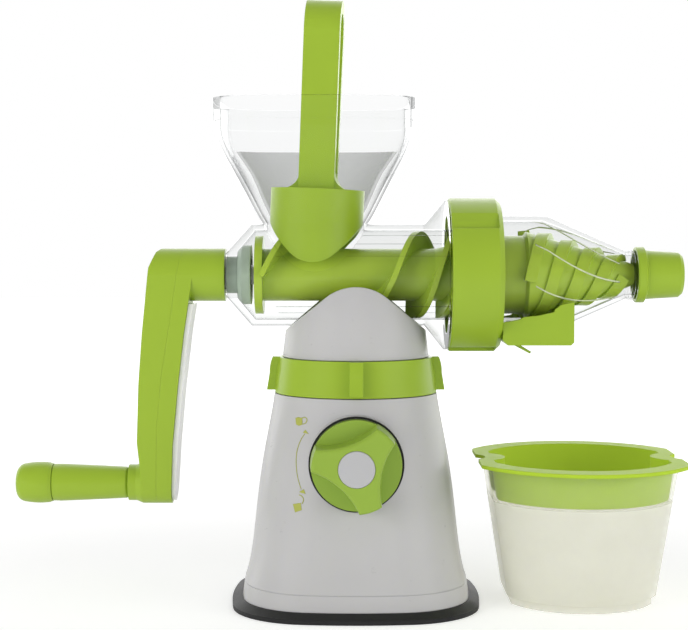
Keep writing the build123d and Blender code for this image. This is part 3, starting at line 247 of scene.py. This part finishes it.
def clearPlastic(name, facts):
    # clear moulded plastic: see-through where it faces the eye, dark and shiny where it turns away
    finish = newFinish(name)
    flowFacts, scratchFacts = facts["flow"], facts["scratches"]
    flow = finish.cloud(flowFacts["scale"], flowFacts["detail"], 0.4)
    along = finish.stretched(scratchFacts["along"])
    scratches = finish.cloud(scratchFacts["scale"], scratchFacts["detail"], 0.65, along)
    relief = flow + scratches * scratchFacts["height"]
    normal = finish.bump(relief, facts["grain"], facts["depth"], facts["soft"])
    turned = finish.turned(normal)
    edge = turned * turned
    edge = edge * edge
    edge = edge * edge
    scratched = (scratches > scratchFacts["limit"]) * scratchFacts["share"]
    share = facts["veil"] + edge * facts["edge"] + scratched
    through = finish.add("ShaderNodeBsdfTransparent", None, {"Color": facts["through"]})
    gloss = finish.add("ShaderNodeBsdfPrincipled", None, {
        "Base Color": finish.blend(turned, facts["gloss"], facts["rim"]),
        "Metallic": 1.0,
        "Roughness": facts["roughness"] + (scratches - 0.5) * scratchFacts["dulling"],
        "Normal": normal,
    })
    mixed = finish.layered(share, through, gloss)
    # with slope facts, painted shade darkens the funnel's far slope
    if "slope" in facts:
        slopeShadeFacts = facts["slope"]
        height = finish.part(finish.place, "Z")
        lean = finish.part(finish.add("ShaderNodeTexCoord", output="Normal"), "Y")
        slope = (lean * lean > slopeShadeFacts["lean"]) * (finish.part(finish.place, "Y") > 0.0)
        slope = slope * (height < slopeShadeFacts["top"]) * (height > slopeShadeFacts["foot"])
        # painted shade: a grey diffuse laid over the funnel's far slope
        paintedSlopeShade = finish.add("ShaderNodeBsdfDiffuse", None, {"Color": slopeShadeFacts["colour"]})
        mixed = finish.layered(slope * slopeShadeFacts["share"], mixed, paintedSlopeShade)
    return finish.ended(mixed)


milkyFacts = {
    "veil": 0.36,
    "skirtVeil": 0.08,  # share of milk over the insert's skirt, from the height skirtFoot up
    "skirtFoot": 0.0527,
    "skirtBlend": 0.6 * mm,
    "edge": 0.12,
    "through": (0.968, 0.965, 0.94, 1.0),
    "colour": linear(252, 250, 238),
    "tones": (0.96, 1.03),
    "roughness": 0.38,
    "dulling": 0.15,
    "clouding": 0.05,
    "glow": 0.5,
    "glowRadius": (0.02, 0.02, 0.016),
    "glowScale": 0.4,
    "soft": 0.5,
    "grain": 0.08,
    "depth": 0.4,
    "clouds": {"scale": 30, "detail": 4},
    "fine": {"scale": 1500, "detail": 2, "height": 0.5},
}


def milkyPlastic(name, facts):
    # thin milky plastic: what stands behind it shows through, a little dulled
    finish = newFinish(name)
    cloudy = finish.cloud(facts["clouds"]["scale"], facts["clouds"]["detail"])
    fine = finish.cloud(facts["fine"]["scale"], facts["fine"]["detail"])
    relief = fine * facts["fine"]["height"] + cloudy
    normal = finish.bump(relief, facts["grain"], facts["depth"], facts["soft"])
    turned = finish.turned(normal)
    # where the insert's skirt lies against the wall it shows more clearly
    foot, reach = facts["skirtFoot"], facts["skirtBlend"]
    height = finish.part(finish.place, "Z")
    veil = finish.ramped(height, foot - reach, foot + reach, facts["veil"], facts["skirtVeil"])
    share = veil + turned * turned * facts["edge"] + (cloudy - 0.5) * facts["clouding"]
    through = finish.add("ShaderNodeBsdfTransparent", None, {"Color": facts["through"]})
    milk = finish.add("ShaderNodeBsdfPrincipled", None, {
        "Base Color": finish.blend(cloudy, *(varied(facts["colour"], tone) for tone in facts["tones"])),
        "Roughness": facts["roughness"] + (cloudy - 0.5) * facts["dulling"],
        "Normal": normal,
        "Subsurface Weight": facts["glow"],
        "Subsurface Radius": facts["glowRadius"],
        "Subsurface Scale": facts["glowScale"],
    })
    return finish.ended(finish.layered(share, through, milk))


rubberFacts = {
    "roughness": 0.6,
    "dulling": 0.25,
    "tones": (0.75, 1.5),
    "refraction": 1.5,
    "soft": 0.6,
    "grain": 0.2,
    "depth": 0.4,
    "bloom": {"scale": 55, "detail": 5, "height": 0.5},
    "fine": {"scale": 2100, "detail": 3},
}


def mouldedRubber(name, colour, **changes):
    # matt rubber with a little dust and bloom
    facts = dict(rubberFacts, **changes)
    finish = newFinish(name)
    bloom = finish.cloud(facts["bloom"]["scale"], facts["bloom"]["detail"], 0.65)
    fine = finish.cloud(facts["fine"]["scale"], facts["fine"]["detail"])
    relief = fine + bloom * facts["bloom"]["height"]
    return finish.surface({
        "Base Color": finish.blend(bloom, *(varied(colour, tone) for tone in facts["tones"])),
        "Roughness": facts["roughness"] + (bloom - 0.5) * facts["dulling"],
        "Normal": finish.bump(relief, facts["grain"], facts["depth"], facts["soft"]),
        "IOR": facts["refraction"],
    })


steelFacts = {
    "dark": (0.52, 0.52, 0.53, 1.0),
    "light": (0.66, 0.66, 0.66, 1.0),
    "roughness": 0.22,
    "dulling": 0.2,
    "soft": 0.3,
    "grain": 0.15,
    "depth": 0.2,
    "turning": {"scale": 260, "detail": 3, "along": (1.0, 60.0, 60.0)},
    "patches": {"scale": 70, "detail": 3},
}


def turnedSteel(name, facts):
    # steel with fine turning marks
    finish = newFinish(name)
    along = finish.stretched(facts["turning"]["along"])
    turning = finish.cloud(facts["turning"]["scale"], facts["turning"]["detail"], 0.5, along)
    patches = finish.cloud(facts["patches"]["scale"], facts["patches"]["detail"])
    return finish.surface({
        "Base Color": finish.blend(patches, facts["dark"], facts["light"]),
        "Roughness": facts["roughness"] + turning * facts["dulling"],
        "Normal": finish.bump(turning, facts["grain"], facts["depth"], facts["soft"]),
        "Metallic": 1.0,
    })


whiteFacts = {"roughness": 0.3, "grain": 0.07, "glow": 0.1}
lime = mouldedPlastic("lime_plastic", linear(152, 181, 44))
limeInsert = mouldedPlastic("insert_plastic", linear(178, 208, 60), roughness=0.45, shine=0.04)
limeKnob = mouldedPlastic("lime_knob_plastic", linear(144, 174, 58))
augerGreen = mouldedPlastic("auger_plastic", linear(176, 203, 60), roughness=0.3)
white = mouldedPlastic("white_shell_plastic", linear(190, 189, 189), **whiteFacts)
whitePart = mouldedPlastic("white_trim_plastic", linear(240, 240, 238), **whiteFacts)
capWhite = mouldedPlastic("cap_plastic", linear(184, 184, 185), **whiteFacts)
innerWhite = mouldedPlastic("inner_plastic", linear(196, 195, 190), roughness=0.5)
# painted highlight: the nose's ribs are clear, this pale colour stands in for their highlight
ribHighlight = mouldedPlastic("rib_painted_highlight_plastic", linear(222, 232, 190), roughness=0.2)
olive = mouldedPlastic("mark_ink", linear(172, 176, 82), roughness=0.5)
clear = clearPlastic("clear_plastic", dict(clearFacts, through=(0.966, 0.97, 0.968, 1.0)))
clearHopper = clearPlastic("clear_hopper_plastic", hopperFacts)
milky = milkyPlastic("milky_plastic", milkyFacts)
blackRubber = mouldedRubber("black_rubber", linear(24, 24, 25))
sealRubber = mouldedRubber("seal_rubber", linear(172, 186, 172), roughness=0.45)
silicone = mouldedRubber("silicone", linear(214, 216, 212), roughness=0.4)
steel = turnedSteel("turned_steel", steelFacts)
print("finishes made")

nodeFinish = {
    "suction_pad": blackRubber, "base_ring": white, "base_shell": white, "base_screws": steel,
    "shaft_bracket": innerWhite, "knob_bezel": blackRubber, "knob": limeKnob, "knob_cap": capWhite,
    "knob_shaft": steel, "lift_cam": innerWhite, "lift_rod": innerWhite, "rod_nut": steel,
    "lock_ring": lime, "head_cradle": white, "barrel": clear, "hopper": clearHopper,
    "rear_seal": sealRubber, "flange_gasket": silicone, "nose_cone": clear, "juice_screen": steel,
    "juice_chute": lime, "lock_nut": lime, "auger": augerGreen, "drive_shaft": steel,
    "crank_outer": lime, "crank_inner": lime, "crank_cover": whitePart, "crank_screw": steel,
    "grip_axle": steel, "grip": lime, "grip_cap": lime, "outlet_washer": silicone,
    "outlet_cap": lime, "pusher_head": lime, "pusher_handle": lime, "cup": milky,
    "cup_insert": limeInsert,
}
for name, material in nodeFinish.items():
    holder = nodes[name].data.materials
    holder.clear()
    holder.append(material)
print("finishes given to", len(nodeFinish), "nodes")


def meshPiece(name, vertices, faces, material, body):
    # a piece from lists of points and faces, which rides on a body
    mesh = bpy.data.meshes.new(name)
    mesh.from_pydata(vertices, [], faces)
    mesh.validate()
    build = bmesh.new()
    build.from_mesh(mesh)
    bmesh.ops.remove_doubles(build, verts=build.verts, dist=0.01 * mm)
    bmesh.ops.recalc_face_normals(build, faces=build.faces)
    build.to_mesh(mesh)
    build.free()
    for face in mesh.polygons:
        face.use_smooth = False
    piece = bpy.data.objects.new(name, mesh)
    bpy.context.scene.collection.objects.link(piece)
    mesh.materials.append(material)
    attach(piece, body)
    return piece


# the marks beside the knob: a shut and an open padlock with a double arrow between them,
# as corners in pixels of the 688 x 630 frame
markFacts = {
    "eye": (-0.006, -0.827, 0.1856),
    "middle": (344, 236),
    "pixel": 0.51 * mm,
    "lift": 0.12 * mm,
    "plates": [
        [(295.2, 418.6), (298.2, 417.6), (301.9, 418.6), (302.4, 422.5), (301.6, 425.6),
         (298.6, 426.4), (295.9, 425.2)],
        [(305.2, 430.4), (308.6, 434.8), (302.6, 433.4)],
        [(303.6, 490.6), (305.4, 495.6), (298.6, 493.6)],
        [(292.5, 505.8), (300.5, 504.5), (301.4, 512.0), (294.7, 514.3)],
    ],
    "lines": [  # width and path of each stroke
        (0.9, [(301.6, 418.8), (304.6, 417.7), (306.6, 419.2), (306.8, 421.6), (305.2, 424.0),
               (302.2, 424.9)]),
        (0.7, [(304.6, 434.6), (301.2, 439.4), (299.0, 444.4), (297.2, 449.6), (296.2, 455.0),
               (295.8, 460.6), (295.9, 466.6), (296.4, 472.6), (297.3, 478.4), (298.8, 484.4),
               (301.0, 490.8)]),
        (0.9, [(298.6, 496.4), (301.0, 497.4), (302.9, 499.6), (303.3, 502.2), (301.9, 505.4)]),
    ],
}


def makeMarks(facts, material):
    shell = nodes["base_shell"]
    eye = Vector(facts["eye"])

    def onShell(x, y):
        # where the sight line through a pixel meets the shell
        across = (x - facts["middle"][0]) * facts["pixel"]
        down = (y - facts["middle"][1]) * facts["pixel"]
        aim = Vector((eye.x + across, 0.0, eye.z - down)) - eye
        _, place, normal, _ = shell.ray_cast(eye, aim.normalized())
        return place + normal * facts["lift"], place - normal * facts["lift"]

    vertices, faces = [], []

    def plate(corners):
        first = len(vertices)
        pairs = [onShell(x, y) for x, y in corners]
        vertices.extend([top for top, _ in pairs] + [foot for _, foot in pairs])
        count = len(corners)
        faces.append([first + step for step in range(count)])
        for step in range(count):
            after = (step + 1) % count
            faces.append([first + step, first + after, first + count + after, first + count + step])

    for corners in facts["plates"]:
        plate(corners)
    for width, line in facts["lines"]:
        for (x, y), (nextX, nextY) in zip(line, line[1:]):
            length = hypot(nextX - x, nextY - y)
            sideX, sideY = -(nextY - y) / length * width / 2, (nextX - x) / length * width / 2
            plate([(x + sideX, y + sideY), (nextX + sideX, nextY + sideY),
                   (nextX - sideX, nextY - sideY), (x - sideX, y - sideY)])
    return meshPiece("lock_marks", vertices, faces, material, "stand")


makeMarks(markFacts, olive)
print("lock marks made")

# slim ribs that wind along the inside of the nose, drawn in a pale colour that paints their highlight; the
# bore is given as pairs of x and radius in mm
ribFacts = {
    "bore": [(86.0, 27.4), (95.0, 27.4), (104.0, 24.1), (137.0, 10.3)],
    "count": 8,
    "startAngle": 19.3,
    "turnPerMm": -1.15,
    "startX": 89.0,
    "endX": 133.0,
    "anchorX": 102.0,
    "height": 0.55,
    "width": 0.9,
    "sunk": 0.1,
    "taper": 6.0,
    "steps": 30,
}


def makeNoseRibs(facts, material):
    def boreAt(x):
        for (x0, r0), (x1, r1) in zip(facts["bore"], facts["bore"][1:]):
            if x <= x1:
                return r0 + (r1 - r0) * (x - x0) / (x1 - x0)
        return facts["bore"][-1][1]

    vertices, faces = [], []
    steps, taper = facts["steps"], facts["taper"]
    for rib in range(facts["count"]):
        angle = facts["startAngle"] + 360.0 / facts["count"] * rib
        for step in range(steps + 1):
            x = facts["startX"] + (facts["endX"] - facts["startX"]) * step / steps
            turn = radians(angle + facts["turnPerMm"] * (x - facts["anchorX"]))
            root = boreAt(x) + facts["sunk"]
            fade = min(1.0, taper * step / steps, taper * (steps - step) / steps)
            crown = boreAt(x) - facts["height"] * fade
            half = facts["width"] / 2 / root
            for reach, shift in ((root, -half), (crown, 0.0), (root, half)):
                y = -reach * cos(turn + shift)
                z = reach * sin(turn + shift)
                vertices.append((x * mm, y * mm, barrelZ + z * mm))
        first = rib * 3 * (steps + 1)
        for step in range(steps):
            here = first + 3 * step
            for side in range(3):
                other = (side + 1) % 3
                faces.append([here + side, here + other, here + 3 + other, here + 3 + side])
        faces.append([first, first + 1, first + 2])
        last = first + 3 * steps
        faces.append([last + 2, last + 1, last])
    return meshPiece("nose_ribs", vertices, faces, material, "stand")


makeNoseRibs(ribFacts, ribHighlight)
print("nose ribs made")

cameraFacts = {
    "eye": (-0.006, -0.827, 0.1856),
    "aim": (-0.006, 0.0, 0.1454),
    "lens": 84.7,
    "sensor": 36.0,
    "near": 0.01,
    "far": 20.0,
}


def aimed(thing, facts):
    # puts a lamp or the camera in its place and turns it to its aim
    bpy.context.scene.collection.objects.link(thing)
    thing.location = facts["eye"]
    gaze = Vector(facts["aim"]) - thing.location
    thing.rotation_euler = gaze.to_track_quat("-Z", "Y").to_euler()


def makeCamera(facts):
    camera = bpy.data.objects.new("camera", bpy.data.cameras.new("camera"))
    aimed(camera, facts)
    camera.data.lens = facts["lens"]
    camera.data.sensor_width = facts["sensor"]
    camera.data.clip_start = facts["near"]
    camera.data.clip_end = facts["far"]
    bpy.context.scene.camera = camera


lampFacts = {
    "key": {"eye": (-1.0, -0.75, 0.22), "aim": (0.0, 0.0, 0.14), "size": 0.8, "power": 9.2,
            "glossy": False},
    "fill": {"eye": (1.05, -0.7, 0.18), "aim": (0.03, 0.0, 0.14), "size": 0.8, "power": 7.8,
             "glossy": False},
    "top": {"eye": (0.0, 0.15, 1.25), "aim": (0.0, 0.0, 0.1), "size": 0.9, "power": 0.3,
            "glossy": True},
    "rim": {"eye": (0.2, 1.1, 0.5), "aim": (0.0, 0.0, 0.15), "size": 0.9, "power": 2.2,
            "glossy": True},
}


def makeLamp(name, facts):
    lamp = bpy.data.objects.new(name, bpy.data.lights.new(name, "AREA"))
    aimed(lamp, facts)
    lamp.data.size = facts["size"]
    lamp.data.energy = facts["power"]
    lamp.visible_glossy = facts["glossy"]


worldFacts = {
    "ceiling": {"start": 0.1, "end": 0.95, "low": 0.5, "high": 0.44},
    "wall": {"start": 0.1, "end": 0.6, "low": 0.0, "high": 1.2},  # what reflections see behind the object
}


def makeWorld(facts):
    # even studio light, white where the eye or clear plastic looks straight at it
    world = bpy.data.worlds.new("studio")
    bpy.context.scene.world = world
    finish = Finish(world)
    direction = finish.add("ShaderNodeTexCoord", output="Generated")
    ceiling = finish.ramped(finish.part(direction, "Z"), **facts["ceiling"])
    wall = finish.ramped(finish.part(direction, "Y"), **facts["wall"])
    strength = ceiling + finish.seenFor("Is Glossy Ray") * wall
    soft = finish.add("ShaderNodeBackground", None, {"Color": (1, 1, 1, 1), "Strength": strength})
    plain = finish.add("ShaderNodeBackground", None, {"Color": (1, 1, 1, 1), "Strength": 1.0})
    seen = finish.seenFor("Is Camera Ray", "Is Transmission Ray")
    finish.ended(finish.layered(seen, soft, plain), "ShaderNodeOutputWorld")


floorFacts = {
    "size": 8.0,
    "height": -0.1 * mm,
    "colour": (0.8, 0.8, 0.8, 1.0),
    "bounce": 0.28,
    "nearGlow": (0.46, 0.46, 0.46, 1.0),
    "farGlow": (0.85, 0.85, 0.85, 1.0),
    "nearReach": 0.2,
    "farReach": 0.9,
}


def makeFloor(facts):
    # the floor turns white away from the object and keeps its shadow near it
    bpy.ops.mesh.primitive_plane_add(size=facts["size"], location=(0, 0, facts["height"]))
    floor = bpy.context.object
    floor.name = "floor"
    finish = newFinish("pale_floor")
    lit = finish.add("ShaderNodeBsdfDiffuse", None, {"Color": facts["colour"]})
    reach = finish.add("ShaderNodeVectorMath", {"operation": "LENGTH"}, {0: finish.place}, "Value")
    far = finish.ramped(reach, facts["nearReach"], facts["farReach"], 0.0, 1.0, "LINEAR")
    tint = finish.blend(far, facts["nearGlow"], facts["farGlow"])
    glow = finish.add("ShaderNodeEmission", None, {"Color": tint, "Strength": 1.0})
    bounce = finish.add("ShaderNodeEmission", None, {"Strength": facts["bounce"]})
    white = finish.add("ShaderNodeAddShader", None, {0: lit, 1: glow})
    plain = finish.add("ShaderNodeAddShader", None, {0: lit, 1: bounce})
    seen = finish.seenFor("Is Camera Ray", "Is Transmission Ray")
    floor.data.materials.append(finish.ended(finish.layered(seen, plain, white)))


makeCamera(cameraFacts)
for name, facts in lampFacts.items():
    makeLamp(name, facts)
makeWorld(worldFacts)
makeFloor(floorFacts)
bpy.context.scene.view_settings.view_transform = "Standard"
print("camera, lights and floor made")
